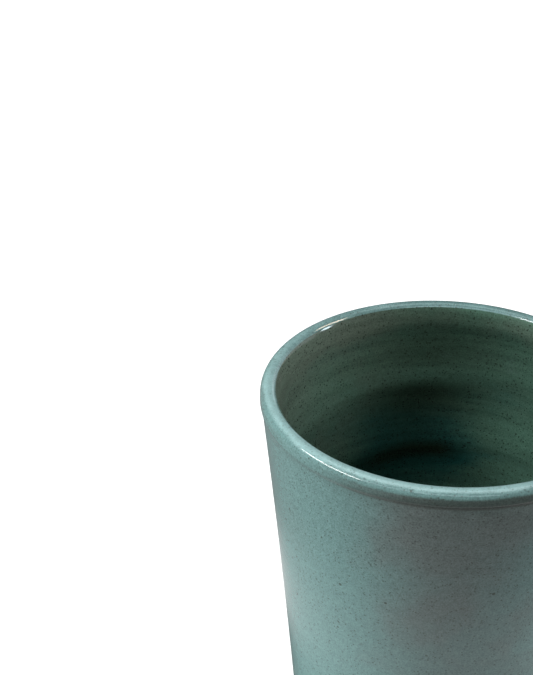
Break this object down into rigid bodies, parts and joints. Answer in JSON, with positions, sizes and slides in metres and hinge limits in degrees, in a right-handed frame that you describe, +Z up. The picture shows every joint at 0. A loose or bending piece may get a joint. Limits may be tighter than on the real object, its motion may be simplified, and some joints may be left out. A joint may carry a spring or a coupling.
{
  "type": "brush holder pot",
  "caption": "Round glazed stoneware pot with a rolled rim, tapered wall and recessed foot, open at the top to hold upright brushes and pens.",
  "frame": {"origin": "centre of the foot, on the surface the pot stands on", "axes": "+Z up along the pot's axis, out of the mouth; X and Y are free, because the pot is round"},
  "size_m": [0.09, 0.09, 0.11],
  "materials": {
    "bare_stoneware": "unglazed, matt, finely speckled",
    "outer_celadon_glaze": "satin gloss sage green glaze with fine dark iron specks",
    "inner_celadon_glaze": "gloss sage green glaze with fine dark iron specks"
  },
  "bodies": {
    "root": {"stoneware_body": "bare_stoneware", "outer_glaze": "outer_celadon_glaze", "inner_glaze": "inner_celadon_glaze"}
  },
  "joints": []
}
